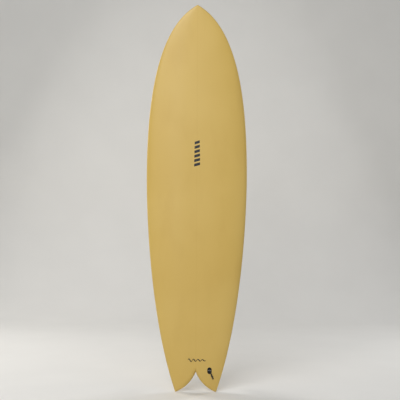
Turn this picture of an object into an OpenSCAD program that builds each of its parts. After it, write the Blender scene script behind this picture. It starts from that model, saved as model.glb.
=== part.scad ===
// Swallow-tail surfboard, built the way a glassed polyurethane board is built:
// two foam halves glued to a wooden stringer, a deck and a bottom laminate round them,
// two fin boxes with screwed-in fins, and a leash plug with its cord.
// Frame: +Z runs from the tail to the nose, the deck faces -Y, the fins face +Y.
// The origin is the floor point midway between the two tail tips. Units are millimetres.

/* [Outline] */
// overall length, tail tips to nose tip
board_length = 2134; // [2020:1:2240]
// full width at the wide point
board_width = 558.8; // [520:0.1:580]
// height of the wide point above the tail tips
wide_point = 1196.6; // [1150:0.1:1240]
// distance between the two tail tips
tip_spacing = 225.8; // [200:0.1:250]
// depth of the notch between the tail tips
notch_depth = 112; // [95:1:125]
// radius of the bulging inner edge of each tail tip
notch_radius = 190; // [170:1:300]

/* [Thickness and rocker] */
// greatest thickness
thickness = 70; // [62:0.5:76]
// height of the thickest point above the tail tips
thick_point = 1110; // [1060:1:1160]
// thickness close to the nose tip
nose_thickness = 8; // [7:0.5:12]
// thickness close to the tail tips
tail_thickness = 14; // [12:0.5:18]
// how far the nose curves up towards the deck
nose_rocker = 108; // [90:1:125]
// how far the tail curves up towards the deck
tail_rocker = 48; // [38:1:60]
// height of the flattest point of the bottom
flat_point = 1003; // [960:1:1050]

/* [Skin] */
// thickness of the glass and resin skin
glass = 1.2; // [0.9:0.1:1.6]
// how far the deck cloth laps round onto the bottom
lap = 38; // [30:1:45]
// width of the wooden stringer
stringer_width = 4.8; // [3.2:0.1:6.4]

/* [Fins and boxes] */
// distance of each fin from the centreline
fin_side = 145; // [138:1:148]
// height of each fin's middle above the tail tips
fin_height = 245; // [235:1:260]
// length of a fin's base
fin_base = 150; // [146:1:156]
// depth of a fin below the bottom
fin_depth = 140; // [110:1:150]
// how far a fin tip sweeps back from its leading corner
fin_sweep = 128; // [100:1:135]
// outward lean of a fin
fin_cant = 6; // [2:0.5:8]
// turn of a fin's front towards the centreline
fin_toe = 1.5; // [0:0.25:3]
// length of a fin box along the board
box_length = 134; // [132:1:136]
// width of a fin box flange
box_width = 30; // [29:0.5:32]

/* [Leash plug] */
// width of the oval plug
plug_width = 24; // [23:0.5:26]
// length of the oval plug along the board
plug_length = 37; // [36:0.5:40]
// distance of the plug from the centreline, on the right of the deck
plug_side = 76.5; // [72:0.5:82]
// height of the plug's middle above the tail tips
plug_height = 120; // [118:0.5:130]
// diameter of the leash cord
cord_d = 3.5; // [3:0.1:3.6]
// direction in which the cord leaves the plug, measured from straight down
cord_heading = 27; // [10:1:30]
// further turn of the cord where it crosses the rim
cord_turn = -4; // [-10:1:10]
// reach of the cord beyond the rim
cord_reach = 36.5; // [34:0.5:42]

/* [Hidden] */
$fn = 32;

// cross-sections
rail_height = 0.42;
deck_power = 2.8;
deck_roll = 26;
tip_rounding = 6;
deck_columns = 11;
lap_columns = 5;
inner_columns = 5;
s_half = stringer_width / 2;
base_y = tail_rocker + tail_thickness / 2;

// marks: thin films lying on the deck
film_gap = 0.05;
film_t = 0.15;
mark_side = 1.5;
mark_height = 1327;
mark_length = 146;
mark_width = 33;
mark_bars = 6;
wave_side = 6;
wave_height = 178;
wave_length = 100;
wave_line = 3.6;
waves = 4;

// fin, fin box and screws: x' points outboard, y' towards the tail, z' out of the bottom
tab_t = 6.3;
tab_length = 24;
tab_depth = 11;
tab_offset = 37;
blade_t = 8.2;
blade_inside = -3.6;
blade_lift = 0.3;
blade_rows = 16;
foil_points = 12;
fin_travel_clear = 0.1;
flange_t = 1.6;
flange_lip = 2;
box_depth = 14;
glue = 0.05;
screw_r = 2.5;
screw_root_r = 2.1;
screw_pitch = 0.8;
screw_clear = 0.05;
screw_length = 9;
screw_tilt = 30;
screw_sink = 0.8;
screw_tip_r = 1.75;
screw_tip_side = tab_t / 2 + fin_travel_clear + screw_tip_r * cos(screw_tilt);
key_flats = 2.5;
key_depth = 3.5;

// leash plug: x' to the right, y' towards the nose, z' out of the deck
plug_depth = 17;
plug_wall = 3;
plug_floor = 2;
rim_step = 0.7;
bar_r = 2;
bar_sink = 8;
bar_reach = plug_width / 2 - plug_wall + 1.6;
cord_run_r = cord_d / 2 - 0.1;
hitch_r = 3.2;
hitch_out = 4.6;
hitch_up = -4.1;
crest_out = 15.5;
crest_up = 5.2;
cord_lift = 2.1;
end_knot_r = 5.2;
end_knot_start = 13.5;
end_knot_length = 11;

// ---- outline and profile curves ----

// one coordinate of a cubic curve through its four control values
function cubic(c, s) = c[0] * (1 - s) ^ 3 + 3 * c[1] * s * (1 - s) ^ 2
                     + 3 * c[2] * s ^ 2 * (1 - s) + c[3] * s ^ 3;

// parameter at which a steadily rising or falling cubic reaches a value
function solve(c, value, lo = 0, hi = 1, steps = 40) =
    let (mid = (lo + hi) / 2, past = (cubic(c, mid) > value) == (c[3] > c[0]))
    steps == 0 ? mid
    : past ? solve(c, value, lo, mid, steps - 1)
    : solve(c, value, mid, hi, steps - 1);

half = board_width / 2;
nose_run = board_length - wide_point;
nose_x = [half, half, 0.638 * half, 0];
nose_z = [wide_point, wide_point + 0.6 * nose_run, board_length - 0.102 * nose_run, board_length];
tail_x = [half, half, 0.926 * half, tip_spacing / 2];
tail_z = [wide_point, 0.832 * wide_point, 0.344 * wide_point, 0];

// half width of the outline at a height
function half_width(z) = z >= board_length ? 0
    : z <= 0 ? tip_spacing / 2
    : z >= wide_point ? cubic(nose_x, solve(nose_z, z))
    : cubic(tail_x, solve(tail_z, z));

// inner edge of a tail tip: an arc from the tip to the notch's end on the centreline, which
// bulges towards the notch
arc_chord = norm([tip_spacing / 2, notch_depth]);
arc_angle = atan2(notch_depth, tip_spacing / 2);
arc_reach = sqrt(notch_radius ^ 2 - arc_chord ^ 2 / 4);
arc_x = tip_spacing / 4 + arc_reach * sin(arc_angle);
arc_z = notch_depth / 2 + arc_reach * cos(arc_angle);
function notch_edge(z) = z >= notch_depth ? 0
    : z <= 0 ? tip_spacing / 2
    : arc_x - sqrt(notch_radius ^ 2 - (z - arc_z) ^ 2);

// how far the bottom is lifted towards the deck, along the centreline
function rocker(z) = z > flat_point
    ? nose_rocker * ((z - flat_point) / (board_length - flat_point)) ^ 2.6
    : tail_rocker * ((flat_point - z) / flat_point) ^ 2.2;

// thickness along the centreline, closed in a quarter round at both tips
function tip_close(d) = d >= tip_rounding ? 1 : sqrt(1 - (1 - max(d, 0) / tip_rounding) ^ 2);
function board_thickness(z) = tip_close(min(z, board_length - z)) * (z > thick_point
    ? thickness - (thickness - nose_thickness)
        * ((z - thick_point) / (board_length - thick_point)) ^ 2.1
    : thickness - (thickness - tail_thickness) * ((thick_point - z) / thick_point) ^ 2.6);

// value less an inset, easing to nothing where the value itself does
function shrink(value, inset) = value <= 0 ? 0 : value ^ 2 / (value + inset);

// ---- one cross-section of the right half, inset by the skin thickness or by nothing ----
HEIGHT = 0;
BOTTOM = 1;
THICK = 2;
INNER = 3;
OUTER = 4;
STATION = 5;
EDGE = 6;
function section(z, inset) =
    let (w = half_width(z), xi = notch_edge(z), t = board_thickness(z),
         t_in = shrink(t, 2 * inset), split = z < notch_depth,
         mid = (xi + w) / 2, h = shrink((w - xi) / 2, inset),
         inner = split ? mid - h : 0, outer = split ? mid + h : shrink(w, inset))
    [z + inset * (1 - 2 * z / board_length), base_y - rocker(z) - (t - t_in) / 2, t_in,
     inner, outer, z, min(max(20 - z / 75, 8), 18)];

// share of the roll's width between a point and the notch's edge, where the roll fades out
// above the notch
function roll_share(s, x) =
    let (from_edge = notch_radius - norm([x - arc_x, s[STATION] - arc_z]),
         fade = 0.4 * max(s[STATION] - notch_depth, 0))
    s[STATION] >= arc_z ? 1 : min(max((from_edge + fade) / deck_roll, 0), 1);

// heights of the deck and the bottom above the lowest line, as shares of the thickness
function across(s, x) = min(x / max(s[OUTER], 1e-6), 1);
function deck_share(s, x) =
    rail_height + (1 - rail_height) * sqrt(1 - (1 - roll_share(s, x)) ^ 2.4)
        * max(1 - across(s, x) ^ deck_power, 0) ^ (1 / 1.8);
function bottom_share(s, x) = rail_height * (1 - sqrt(max(1 - across(s, x) ^ s[EDGE], 0)));

function deck_point(s, x) = [x, s[BOTTOM] - s[THICK] * deck_share(s, x), s[HEIGHT]];
function bottom_point(s, x) = [x, s[BOTTOM] - s[THICK] * bottom_share(s, x), s[HEIGHT]];
function deck_y(x, z) = deck_point(section(z, 0), abs(x))[1];
function bottom_y(x, z) = bottom_point(section(z, 0), abs(x))[1];

// sideways positions, closer together at the rail and at both edges of a tail tip
function start_x(s) = min(max(s[INNER], s_half), s[OUTER]);
function lap_x(s) = s[OUTER] - min(lap, 0.35 * (s[OUTER] - start_x(s)));
function spread(s, a) = s[INNER] > 0 ? (1 - cos(180 * a)) / 2 : sin(90 * a);
function deck_row(s) = [for (i = [0:deck_columns])
    deck_point(s, start_x(s) + (s[OUTER] - start_x(s)) * spread(s, i / deck_columns))];
function lap_row(s) = [for (i = [1:lap_columns])
    bottom_point(s, lap_x(s) + (s[OUTER] - lap_x(s)) * sin(90 * (1 - i / lap_columns)))];
function inner_row(s) = [for (i = [0:inner_columns])
    bottom_point(s, lap_x(s) + (start_x(s) - lap_x(s)) * i / inner_columns)];

// heights of the cross-sections, close together at both tips and round the notch
nose_span = 330;
body_start = notch_depth + 50;
body_end = board_length - nose_span;
tail_steps = 12;
body_steps = 20;
nose_steps = 13;
stations = [
    for (i = [0:tail_steps]) (notch_depth - 2.5) * (i / tail_steps) ^ 1.6,
    for (above = [-0.1, 0, 3, 8, 16, 30]) notch_depth + above,
    for (i = [0:body_steps]) body_start + (body_end - body_start) * i / body_steps,
    for (i = [1:nose_steps]) board_length - nose_span * (1 - i / nose_steps) ^ 1.7
];
notch_station = tail_steps + 2;

// ---- closed solids from rows of points ----

// two triangles between neighbouring loops of points, split along the shorter diagonal, so
// that two pieces that share the four corners also share the surface between them
function ring_faces(points, first, cols, c) =
    let (a = first + c, b = first + (c + 1) % cols, over_a = a + cols, over_b = b + cols)
    norm(points[a] - points[over_b]) < norm(points[b] - points[over_a])
        ? [[a, over_b, b], [a, over_a, over_b]]
        : [[a, over_a, b], [over_a, over_b, b]];
function reversed(list) = [for (i = [len(list) - 1:-1:0]) list[i]];
function joined(rows) = [for (row = rows) each row];

// solid through loops of points, with a flat cap where a loop isn't closed to a point
module loft(rows, cap_first = false, cap_last = false) {
    points = joined(rows);
    cols = len(rows[0]);
    last = len(points) - cols;
    sides = [for (r = [0:len(rows) - 2], c = [0:cols - 1])
        each ring_faces(points, r * cols, cols, c)];
    first_cap = cap_first ? [[for (c = [0:cols - 1]) c]] : [];
    last_cap = cap_last ? [[for (c = [cols - 1:-1:0]) last + c]] : [];
    polyhedron(points, concat(sides, first_cap, last_cap));
}

// skin over both halves of the board: open along the centreline above the notch,
// where the two halves run into each other
module skin(outer, inner) {
    loops = [for (r = [0:len(outer) - 1]) concat(outer[r], reversed(inner[r]))];
    cols = len(loops[0]);
    right = joined(loops);
    left = [for (p = right) [-p[0], p[1], p[2]]];
    faces = [for (r = [0:len(loops) - 2], c = [0:cols - 1])
        if (c < cols - 1 || r < notch_station) each ring_faces(right, r * cols, cols, c)];
    other = [for (f = faces) [for (i = reversed(f)) i + len(right)]];
    polyhedron(concat(right, left), concat(faces, other));
}

// ---- board ----

// only the stations wide enough to hold foam on both sides of the stringer
foam_stations = [for (z = stations) if (z < body_end || half_width(z) > 4 * s_half) z];

module foam_blank() {
    loft([for (z = foam_stations) let (s = section(z, glass))
        concat(deck_row(s), lap_row(s), [for (i = [1:inner_columns]) inner_row(s)[i]])],
        cap_last = true);
}

module foam_left() {
    color([0.93, 0.91, 0.84]) difference() {
        mirror([1, 0, 0]) foam_blank();
        fin_place(-1) box_pocket();
    }
}

module foam_right() {
    color([0.93, 0.91, 0.84]) difference() {
        foam_blank();
        fin_place(1) box_pocket();
        plug_place() plug_pocket();
    }
}

// flat strip of wood on edge, cut to the board's side profile
module stringer() {
    strip = [for (z = foam_stations) if (z >= notch_depth) section(z, glass)];
    deck_edge = [for (s = strip) let (share = min(deck_share(s, 0), deck_share(s, s_half)))
        [s[BOTTOM] - s[THICK] * share, s[HEIGHT]]];
    bottom_edge = [for (s = strip) [bottom_point(s, s_half)[1], s[HEIGHT]]];
    color([0.80, 0.66, 0.43])
    translate([-s_half, 0, 0])
    rotate([90, 0, 90])
    linear_extrude(height = stringer_width)
    polygon(concat(deck_edge, reversed(bottom_edge)));
}

// point on the inner wall of a tail tip where the deck skin ends, or on the centreline
function skin_edge(z, s) = z < notch_depth ? bottom_point(s, s[INNER]) : deck_point(s, s[INNER]);
function deck_skin_row(z, inset) = let (s = section(z, inset))
    concat([skin_edge(z, s), deck_point(s, s[INNER])], deck_row(s), lap_row(s));
function bottom_skin_row(z, inset) = let (s = section(z, inset))
    concat([bottom_point(s, s[INNER])], reversed(inner_row(s)));

module deck_glass() {
    color([0.80, 0.66, 0.38]) difference() {
        skin([for (z = stations) deck_skin_row(z, 0)], [for (z = stations) deck_skin_row(z, glass)]);
        plug_place() plug_pocket();
        for (side = [-1, 1])
            fin_place(side) box_pocket();
    }
}

module bottom_glass() {
    color([0.80, 0.66, 0.38]) difference() {
        skin([for (z = stations) bottom_skin_row(z, glass)],
             [for (z = stations) bottom_skin_row(z, 0)]);
        for (side = [-1, 1])
            fin_place(side) box_pocket();
    }
}

// ---- marks on the deck ----

// thin film through short cross-lines given as pairs of [x, z] points
module film(lines) {
    function lifted(p, lift) = [p[0], deck_y(p[0], p[1]) - lift, p[1]];
    loft([for (l = lines) [
            lifted(l[0], film_gap + film_t), lifted(l[1], film_gap + film_t),
            lifted(l[1], film_gap), lifted(l[0], film_gap)]],
        cap_first = true, cap_last = true);
}

// plain slanted bars, one above another, growing a little shorter towards the top
module centre_mark() {
    pitch = mark_length / mark_bars;
    slant = 9;
    color([0.06, 0.07, 0.10])
    for (i = [0:mark_bars - 1]) {
        low = mark_height - mark_length / 2 + pitch * i;
        high = low + 0.62 * pitch;
        reach = mark_width / 2 * (1 - 0.03 * i);
        film([for (a = [0:0.25:1])
            let (x = mark_side - reach + 2 * reach * a, rise = slant * (a - 0.5))
            [[x, high + rise], [x, low + rise]]]);
    }
}

// wavy line that flattens out towards the right
module tail_mark() {
    color([0.25, 0.22, 0.18])
    film([for (a = [0:0.025:1])
        let (x = wave_side + wave_length * (a - 0.5),
             z = wave_height + 8 * sin(360 * waves * a) * (1 - 0.6 * a))
        [[x, z + wave_line / 2], [x, z - wave_line / 2]]]);
}

// ---- fins, boxes and screws ----

// moves a piece made for the right-hand fin from its own frame to its place on the bottom
module fin_place(side) {
    y = bottom_y(fin_side, fin_height);
    slope_x = bottom_y(fin_side + 1, fin_height) - y;
    slope_z = bottom_y(fin_side, fin_height + 1) - y;
    mirror([side > 0 ? 0 : 1, 0, 0])
    translate([fin_side, y, fin_height])
    rotate([-90 - atan(slope_z), 0, atan(slope_x)])
    rotate([0, 0, -fin_toe])
    children();
}

// plate with round ends, its top face at z' = 0
module capsule(length, width, depth) {
    straight = (length - width) / 2;
    translate([-width / 2, -straight, -depth]) cube([width, 2 * straight, depth]);
    for (end = [-1, 1])
        translate([0, end * straight, -depth]) cylinder(h = depth, d = width, $fn = 48);
}

// room for a fin box, open well above the bottom skin
module box_pocket() {
    translate([0, 0, 6]) capsule(box_length + 2 * glue, box_width + 2 * glue, flange_t + 6 + glue);
    capsule(box_length - 2 * flange_lip + 2 * glue, box_width - 2 * flange_lip + 2 * glue,
            box_depth + glue);
}

// puts a piece on the axis of one grub screw, its head end at z' = 0
module screw_place(end) {
    head_side = screw_tip_side + screw_length * sin(screw_tilt);
    translate([-head_side, end * tab_offset, -screw_sink])
    rotate([0, -screw_tilt, 0])
    children();
}

module fin_box() {
    slot_t = tab_t + 2 * fin_travel_clear;
    slot_length = tab_length + 2 * fin_travel_clear;
    difference() {
        union() {
            capsule(box_length, box_width, flange_t);
            capsule(box_length - 2 * flange_lip, box_width - 2 * flange_lip, box_depth);
        }
        for (end = [-1, 1]) {
            translate([-slot_t / 2, end * tab_offset - slot_length / 2, -tab_depth - 0.5])
            cube([slot_t, slot_length, tab_depth + 1]);
            screw_place(end)
            translate([0, 0, -screw_length - 0.3])
            cylinder(h = screw_length + 5, r = screw_r + screw_clear);
        }
    }
}

module fin_box_left() { color([0.07, 0.07, 0.08]) fin_place(-1) fin_box(); }
module fin_box_right() { color([0.07, 0.07, 0.08]) fin_place(1) fin_box(); }

// foil of the blade: share of the full thickness at a share of the chord from the front
function foil(f) = f < 0.35
    ? sqrt(1 - (1 - f / 0.35) ^ 2)
    : 1 - 0.94 * ((f - 0.35) / 0.65) ^ 1.5;

// one level of the blade: curved outside from front to back, then across its thin back edge,
// which leaves one flat inside face
function blade_row(a) =
    let (close = sqrt(1 - a ^ 6), length = fin_base * (1 - 0.6 * a) * close,
         front = fin_sweep * a ^ 1.4 - fin_base / 2,
         full = blade_t * (1 - 0.55 * a) * close,
         lean = fin_depth * a * tan(fin_cant), up = blade_lift + fin_depth * a,
         shares = [for (i = [0:foil_points]) (1 - cos(180 * i / foil_points)) / 2])
    concat(
        [for (f = shares) [blade_inside + lean + full * foil(f), front + length * f, up]],
        [[blade_inside + lean, front + length, up]]);

module fin() {
    levels = [for (i = [0:blade_rows]) 1 - (1 - i / blade_rows) ^ 1.8];
    loft([for (a = levels) blade_row(a)], cap_first = true);
    for (end = [-1, 1])
        translate([-tab_t / 2, end * tab_offset - tab_length / 2, -tab_depth])
        cube([tab_t, tab_length, tab_depth + 2 * blade_lift]);
}

module fin_left() { color([0.16, 0.17, 0.18]) fin_place(-1) fin(); }
module fin_right() { color([0.16, 0.17, 0.18]) fin_place(1) fin(); }

// grub screw with ring threads, a chamfered tip and a hexagon key socket
module grub_screw() {
    turns = floor((screw_length - 1.4) / screw_pitch);
    thread = [for (i = [0:turns - 1]) let (z = -0.4 - i * screw_pitch)
        each [[screw_r, z], [screw_r, z - 0.2 * screw_pitch],
              [screw_root_r, z - 0.5 * screw_pitch], [screw_root_r, z - 0.7 * screw_pitch]]];
    difference() {
        rotate_extrude()
        polygon(concat([[0, 0], [screw_root_r, 0]], thread,
                       [[screw_tip_r, -screw_length], [0, -screw_length]]));
        translate([0, 0, -key_depth])
        cylinder(h = key_depth + 1, d = key_flats / cos(30), $fn = 6);
    }
}

module screw(side, end) {
    color([0.72, 0.73, 0.75]) fin_place(side) screw_place(end) grub_screw();
}
module screw_left_front() { screw(-1, -1); }
module screw_left_rear() { screw(-1, 1); }
module screw_right_front() { screw(1, -1); }
module screw_right_rear() { screw(1, 1); }

// ---- leash plug ----

// moves a piece from the plug's own frame to its place on the deck
module plug_place() {
    y = deck_y(plug_side, plug_height);
    slope_x = deck_y(plug_side + 1, plug_height) - y;
    slope_z = deck_y(plug_side, plug_height + 1) - y;
    translate([plug_side, y, plug_height])
    rotate([90 - atan(slope_z), 0, atan(slope_x)])
    children();
}

// room for the plug, open well above the deck
module plug_pocket() {
    translate([0, 0, 6])
    capsule(plug_length + 2 * glue, plug_width + 2 * glue, plug_depth + 6 + glue);
}

// oval cup with a stepped rim and a hole in each long side for the bar
module leash_cup() {
    bowl_length = plug_length - 2 * plug_wall;
    bowl_width = plug_width - 2 * plug_wall;
    color([0.06, 0.06, 0.07]) plug_place() difference() {
        capsule(plug_length, plug_width, plug_depth);
        translate([0, 0, 1])
        capsule(bowl_length + 2 * rim_step, bowl_width + 2 * rim_step, 1 + rim_step);
        translate([0, 0, 1])
        capsule(bowl_length, bowl_width, 1 + plug_depth - plug_floor);
        translate([-bar_reach - glue, 0, -bar_sink])
        rotate([0, 90, 0]) cylinder(h = 2 * (bar_reach + glue), r = bar_r + 0.02);
    }
}

module leash_bar() {
    color([0.74, 0.75, 0.77]) plug_place()
    translate([-bar_reach, 0, -bar_sink])
    rotate([0, 90, 0]) cylinder(h = 2 * bar_reach, r = bar_r);
}

// two runs of cord side by side, from the origin to a distance and a change of height
module cord_runs(across, rise) {
    for (side = [-1, 1]) translate([0, side * cord_d / 2, 0])
    rotate([0, 90 - atan2(rise, across), 0])
    cylinder(h = norm([across, rise]), r = cord_run_r);
}

// stopper that joins the two runs, along x'
module end_knot() {
    taper = 0.35 * end_knot_r;
    rotate([0, 90, 0]) rotate_extrude()
    polygon([[0, 0], [end_knot_r - taper, 0], [end_knot_r, taper],
             [end_knot_r, end_knot_length - taper], [end_knot_r - taper, end_knot_length],
             [0, end_knot_length]]);
}

// the two cut ends of the cord beyond the stopper, spreading a little
module cord_tails(length) {
    for (side = [-1, 1]) rotate([0, 0, side * 6]) translate([0, side * 1.5, 0])
    rotate([0, 90, 0]) cylinder(h = length, r = cord_run_r);
}

// doubled cord hitched round the bar, laid over the rim and ended in a stopper knot
module leash_cord() {
    ring_r = bar_r + 0.1 + cord_d / 2;
    color([0.05, 0.05, 0.055]) plug_place() {
        translate([0, 0, -bar_sink]) rotate([0, 90, 0])
        rotate_extrude() translate([ring_r, 0]) circle(d = cord_d);
        rotate([0, 0, cord_heading - 90]) {
            translate([hitch_out, 0, hitch_up]) {
                sphere(r = hitch_r);
                cord_runs(crest_out - hitch_out, crest_up - hitch_up);
            }
            translate([crest_out, 0, 0]) rotate([0, 0, cord_turn]) {
                for (side = [-1, 1])
                    translate([0, side * cord_d / 2, crest_up]) sphere(r = cord_run_r + 0.06);
                translate([0, 0, crest_up])
                cord_runs(end_knot_start + 1, cord_lift + 1.6 - crest_up);
                translate([end_knot_start, 0, end_knot_r + 0.3]) end_knot();
                translate([end_knot_start + end_knot_length - 1, 0, cord_lift])
                cord_tails(cord_reach - end_knot_start - end_knot_length + 1);
            }
        }
    }
}

foam_left();
foam_right();
stringer();
deck_glass();
bottom_glass();
centre_mark();
tail_mark();
fin_box_left();
fin_box_right();
fin_left();
fin_right();
screw_left_front();
screw_left_rear();
screw_right_front();
screw_right_rear();
leash_cup();
leash_bar();
leash_cord();
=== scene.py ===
"""Looks of the swallow-tail surfboard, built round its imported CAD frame.

Metres. +Z runs from the tail to the nose, the deck faces -Y, the bottom and fins face +Y.
"""
import math
import bmesh
import bpy
import numpy as np
from mathutils import Matrix, Vector


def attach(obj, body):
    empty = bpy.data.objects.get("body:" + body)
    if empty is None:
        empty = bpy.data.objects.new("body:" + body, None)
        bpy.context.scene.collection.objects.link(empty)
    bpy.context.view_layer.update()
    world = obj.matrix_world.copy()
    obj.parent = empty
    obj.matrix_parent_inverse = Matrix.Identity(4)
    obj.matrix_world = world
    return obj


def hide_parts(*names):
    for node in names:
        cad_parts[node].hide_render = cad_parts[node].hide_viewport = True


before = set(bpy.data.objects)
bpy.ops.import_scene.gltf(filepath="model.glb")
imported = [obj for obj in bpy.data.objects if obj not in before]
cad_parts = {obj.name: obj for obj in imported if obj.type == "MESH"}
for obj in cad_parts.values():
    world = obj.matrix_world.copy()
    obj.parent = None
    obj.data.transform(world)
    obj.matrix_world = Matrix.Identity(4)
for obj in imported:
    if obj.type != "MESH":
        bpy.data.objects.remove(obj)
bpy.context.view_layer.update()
MM = 0.001
TINY = 1e-6

# ---------------------------------------------------------------- board shape, in millimetres
LENGTH = 2134.0
HALF = 558.8 / 2
WIDE_POINT = 1196.6
TIP_HALF = 225.8 / 2
NOTCH = 112.0
NOTCH_RADIUS = 190.0
THICKNESS = 70.0
THICK_POINT = 1110.0
NOSE_THICKNESS = 8.0
TAIL_THICKNESS = 14.0
NOSE_ROCKER = 108.0
TAIL_ROCKER = 48.0
FLAT_POINT = 1003.0
BASE_Y = TAIL_ROCKER + TAIL_THICKNESS / 2
NOSE_ROCKER_POWER = 2.6
TAIL_ROCKER_POWER = 2.2
NOSE_FOIL_POWER = 2.1
TAIL_FOIL_POWER = 2.6
RAIL_HEIGHT = 0.42
DECK_POWER = 2.8
CROWN_POWER = 1 / 1.8
ROLL_POWER = 2.4
DECK_ROLL = 26.0
BOTTOM_ROLL = 3.5
ROLL_FADE = 0.4
TIP_ROUNDING = 6.0
LAP = 38.0
SKIN = 1.1


def cubic(c, s):
    """One coordinate of a cubic curve through its four control values."""
    return (c[0] * (1 - s) ** 3 + 3 * c[1] * s * (1 - s) ** 2
            + 3 * c[2] * s ** 2 * (1 - s) + c[3] * s ** 3)


def solve(c, value):
    """Parameter at which a steadily rising or falling cubic reaches each value."""
    low, high = np.zeros_like(value), np.ones_like(value)
    for _ in range(40):
        mid = (low + high) / 2
        past = (cubic(c, mid) > value) == (c[3] > c[0])
        high = np.where(past, mid, high)
        low = np.where(past, low, mid)
    return (low + high) / 2


# control values of the outline's two curves, which meet at the wide point
NOSE_RUN = LENGTH - WIDE_POINT
NOSE_X = [HALF, HALF, 0.638 * HALF, 0]
NOSE_Z = [WIDE_POINT, WIDE_POINT + 0.6 * NOSE_RUN, LENGTH - 0.102 * NOSE_RUN, LENGTH]
TAIL_X = [HALF, HALF, 0.926 * HALF, TIP_HALF]
TAIL_Z = [WIDE_POINT, 0.832 * WIDE_POINT, 0.344 * WIDE_POINT, 0]


def half_width(z):
    """Half width of the outline at each height."""
    z = np.clip(z, 0, LENGTH)
    nose = cubic(NOSE_X, solve(NOSE_Z, z))
    tail = cubic(TAIL_X, solve(TAIL_Z, z))
    return np.where(z >= WIDE_POINT, nose, tail)


# the notch's edge: an arc from a tail tip to the notch's end on the centreline
CHORD = math.hypot(TIP_HALF, NOTCH)
CHORD_ANGLE = math.atan2(NOTCH, TIP_HALF)
ARC_REACH = math.sqrt(NOTCH_RADIUS ** 2 - CHORD ** 2 / 4)
ARC_X = TIP_HALF / 2 + ARC_REACH * math.sin(CHORD_ANGLE)
ARC_Z = NOTCH / 2 + ARC_REACH * math.cos(CHORD_ANGLE)


def notch_edge(z):
    """Distance of a tail tip's inner edge from the centreline at each height."""
    arc = ARC_X - np.sqrt(np.maximum(NOTCH_RADIUS ** 2 - (z - ARC_Z) ** 2, 0))
    return np.where(z >= NOTCH, 0, np.clip(arc, 0, TIP_HALF))


def way_along(z, start, end):
    """Share of the way from a start to an end, held between 0 and 1."""
    return np.clip((z - start) / (end - start), 0, 1)


def rocker(z):
    """How far the bottom is lifted towards the deck, along the centreline."""
    nose = NOSE_ROCKER * way_along(z, FLAT_POINT, LENGTH) ** NOSE_ROCKER_POWER
    tail = TAIL_ROCKER * way_along(z, FLAT_POINT, 0) ** TAIL_ROCKER_POWER
    return nose + tail


def board_thickness(z):
    """Thickness along the centreline, closed in a quarter round at both tips."""
    nose = (THICKNESS - NOSE_THICKNESS) * way_along(z, THICK_POINT, LENGTH) ** NOSE_FOIL_POWER
    tail = (THICKNESS - TAIL_THICKNESS) * way_along(z, THICK_POINT, 0) ** TAIL_FOIL_POWER
    inside = np.clip(np.minimum(z, LENGTH - z) / TIP_ROUNDING, 0, 1)
    return np.sqrt(1 - (1 - inside) ** 2) * (THICKNESS - nose - tail)


def shrink(value, inset):
    """The value less an inset, easing to nothing where the value itself does."""
    return value ** 2 / np.maximum(value + inset, 1e-9)


def roll_share(x, z, width):
    """Share of a roll's width between right-hand points and the notch's edge."""
    from_edge = NOTCH_RADIUS - np.hypot(x - ARC_X, z - ARC_Z)
    fade = ROLL_FADE * np.maximum(z - NOTCH, 0)
    return np.where(z < ARC_Z, np.clip((from_edge + fade) / width, 0, 1), 1)


def deck_share(x, z, width):
    """Height of the deck above the bottom as a share of the thickness, at right-hand points."""
    across = np.clip(x / np.maximum(width, TINY), 0, 1)
    roll = np.sqrt(1 - (1 - roll_share(x, z, DECK_ROLL)) ** ROLL_POWER)
    crown = (1 - across ** DECK_POWER) ** CROWN_POWER
    return RAIL_HEIGHT + (1 - RAIL_HEIGHT) * roll * crown


def rail_sharpness(z):
    """Power of the bottom's turn up into the rail: sharp at the tail, softer at the nose."""
    return np.clip(20 - z / 75, 8, 18)


def bottom_share(x, z, width):
    """Height of the bottom above its lowest line as a share of the thickness."""
    across = np.clip(x / np.maximum(width, TINY), 0, 1)
    roll = 1 - np.sqrt(1 - (1 - roll_share(x, z, BOTTOM_ROLL)) ** 2)
    thick = np.maximum(board_thickness(z), TIP_ROUNDING)
    lift = np.minimum(roll * BOTTOM_ROLL / thick, 0.6 * RAIL_HEIGHT)
    return RAIL_HEIGHT * (1 - np.sqrt(1 - across ** rail_sharpness(z))) + lift


def deck_y(x, z):
    """Depth of the deck's surface at points on either side of the centreline."""
    x, z = np.abs(np.asarray(x, float)), np.asarray(z, float)
    return BASE_Y - rocker(z) - board_thickness(z) * deck_share(x, z, half_width(z))


def bottom_y(x, z):
    """Depth of the bottom's surface at points on either side of the centreline."""
    x, z = np.abs(np.asarray(x, float)), np.asarray(z, float)
    return BASE_Y - rocker(z) - board_thickness(z) * bottom_share(x, z, half_width(z))


def surface_frame(height_of, x, z, outward):
    """Place on the board whose local Z leaves the surface and whose local X runs to the right."""
    y = float(height_of(x, z))
    slope_x = float(height_of(x + 1, z)) - y
    slope_z = float(height_of(x, z + 1)) - y
    turn = Matrix.Rotation(math.atan(slope_x), 4, "Z") @ Matrix.Rotation(
        -outward * math.pi / 2 - math.atan(slope_z), 4, "X")
    return Matrix.Translation(Vector((x, y, z)) * MM) @ turn


# ---------------------------------------------------------------- materials
def linear(r, g, b):
    """Scene-linear colour from 0-255 display values."""
    def one(v):
        v /= 255
        return v / 12.92 if v <= 0.04045 else ((v + 0.055) / 1.055) ** 2.4
    return (one(r), one(g), one(b), 1.0)


# radians that a wave texture of scale 1 turns through in a metre
WAVE_TEXTURE_TURN = 20
FOIL_ATTRIBUTE = "foil"
# sockets of a mix node that mixes colours
MIX_FACTOR = 0
MIX_UNDER = 6
MIX_OVER = 7
MIX_RESULT = 2


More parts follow.
